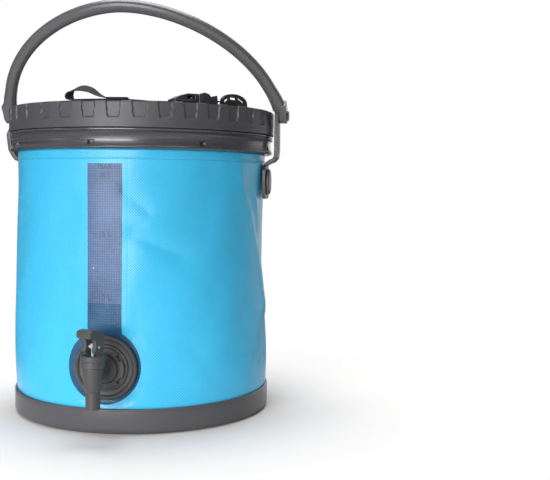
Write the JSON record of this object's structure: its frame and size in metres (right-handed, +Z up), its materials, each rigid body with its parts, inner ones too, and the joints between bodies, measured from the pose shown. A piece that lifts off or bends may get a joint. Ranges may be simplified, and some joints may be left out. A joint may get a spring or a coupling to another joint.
{
  "type": "collapsible water carrier",
  "caption": "Collapsible fabric water carrier on a moulded base, with a clear level window, lever tap, turn-lock lid with filler cap and vent, and a carrying bail",
  "frame": {"origin": "centre of the base tray's underside, on the carrier's axis", "axes": "+Z up along the carrier's axis; the tap points 15.2 degrees to the left of -Y, and the bail's pivots lie on the line square to it"},
  "size_m": [0.3506, 0.3688, 0.478],
  "materials": {
    "charcoal_plastic": "matte moulded plastic",
    "mid_grey_plastic": "satin moulded plastic",
    "tap_plastic": "satin moulded plastic",
    "black_plastic": "satin moulded plastic",
    "coated_fabric": "coated fabric, slightly glossy",
    "window_film": "clear flexible film over blue liner",
    "webbing": "woven flat webbing",
    "rubber": "soft rubber",
    "stem_plastic": "translucent pale plastic"
  },
  "bodies": {
    "base": {"base_tray": "charcoal_plastic", "bag_floor": "coated_fabric", "bag_wall": "coated_fabric", "window_strip": "window_film", "base_clamp_hoop": "black_plastic"},
    "collar": {"collar_ring": "charcoal_plastic", "collar_clamp_hoop": "black_plastic", "lug_arm_left": "charcoal_plastic", "lug_arm_right": "charcoal_plastic", "anchor_button_left": "mid_grey_plastic", "anchor_button_right": "mid_grey_plastic", "pivot_pin_left": "charcoal_plastic", "pivot_pin_right": "charcoal_plastic"},
    "bail": {"bail": "charcoal_plastic"},
    "lid": {"lid": "charcoal_plastic", "lid_gasket": "rubber", "dome_valve": "rubber", "cap_tether": "black_plastic", "strap_webbing": "webbing", "buckle_socket": "black_plastic"},
    "buckle_plug": {"buckle_plug": "black_plastic", "strap_end": "webbing", "strap_keeper": "black_plastic", "strap_adjuster": "black_plastic"},
    "filler_cap": {"filler_cap": "black_plastic", "filler_cap_seal": "rubber"},
    "vent_plug": {"vent_plug": "mid_grey_plastic"},
    "tap": {"tap_flange": "tap_plastic", "tap_gasket": "rubber", "tap_backing_washer": "rubber", "tap_backing_nut": "tap_plastic", "tap_lock_collar": "tap_plastic", "tap_body": "tap_plastic", "tap_bonnet": "tap_plastic"},
    "tap_stem": {"tap_stem": "stem_plastic", "tap_valve_seal": "rubber"},
    "tap_lever": {"tap_lever": "tap_plastic", "tap_lever_pin": "stem_plastic"}
  },
  "joints": [
    {"name": "collapse", "type": "slide", "parent": "base", "child": "collar", "axis": [0, 0, 1], "range_m": [-0.227, 0], "deforming": ["bag_wall", "window_strip"]},
    {"name": "tap_fold", "type": "hinge", "parent": "base", "child": "tap", "pos_m": [-0.03933, -0.14475, 0.03], "axis": [-0.965, 0.2622, 0], "range_deg": [0, 96]},
    {"name": "bail_swing", "type": "hinge", "parent": "collar", "child": "bail", "pos_m": [0, 0, 0.357], "axis": [0.9613, -0.2756, 0], "range_deg": [-108, 24]},
    {"name": "lid_turn", "type": "hinge", "parent": "collar", "child": "lid", "pos_m": [0, 0, 0.347], "axis": [0, 0, 1], "range_deg": [0, 20]},
    {"name": "cap_lift", "type": "slide", "parent": "lid", "child": "filler_cap", "axis": [0, 0, 1], "range_m": [0, 0.04], "deforming": ["cap_tether"]},
    {"name": "vent_lift", "type": "slide", "parent": "lid", "child": "vent_plug", "axis": [0, 0, 1], "range_m": [0, 0.0045]},
    {"name": "buckle_release", "type": "slide", "parent": "lid", "child": "buckle_plug", "axis": [0.9563, 0.2924, 0], "range_m": [0, 0.013]},
    {"name": "stem_lift", "type": "slide", "parent": "tap", "child": "tap_stem", "axis": [0, 0, 1], "range_m": [0, 0.0032]},
    {"name": "lever_swing", "type": "hinge", "parent": "tap_stem", "child": "tap_lever", "pos_m": [-0.05205, -0.19156, 0.1045], "axis": [0.7965, -0.6046, 0], "range_deg": [0, 32]}
  ],
  "couplings": [
    {"joint": "tap_fold", "follows": "collapse", "rad_per_m": -7.304},
    {"joint": "lever_swing", "follows": "stem_lift", "rad_per_m": 174.5}
  ]
}
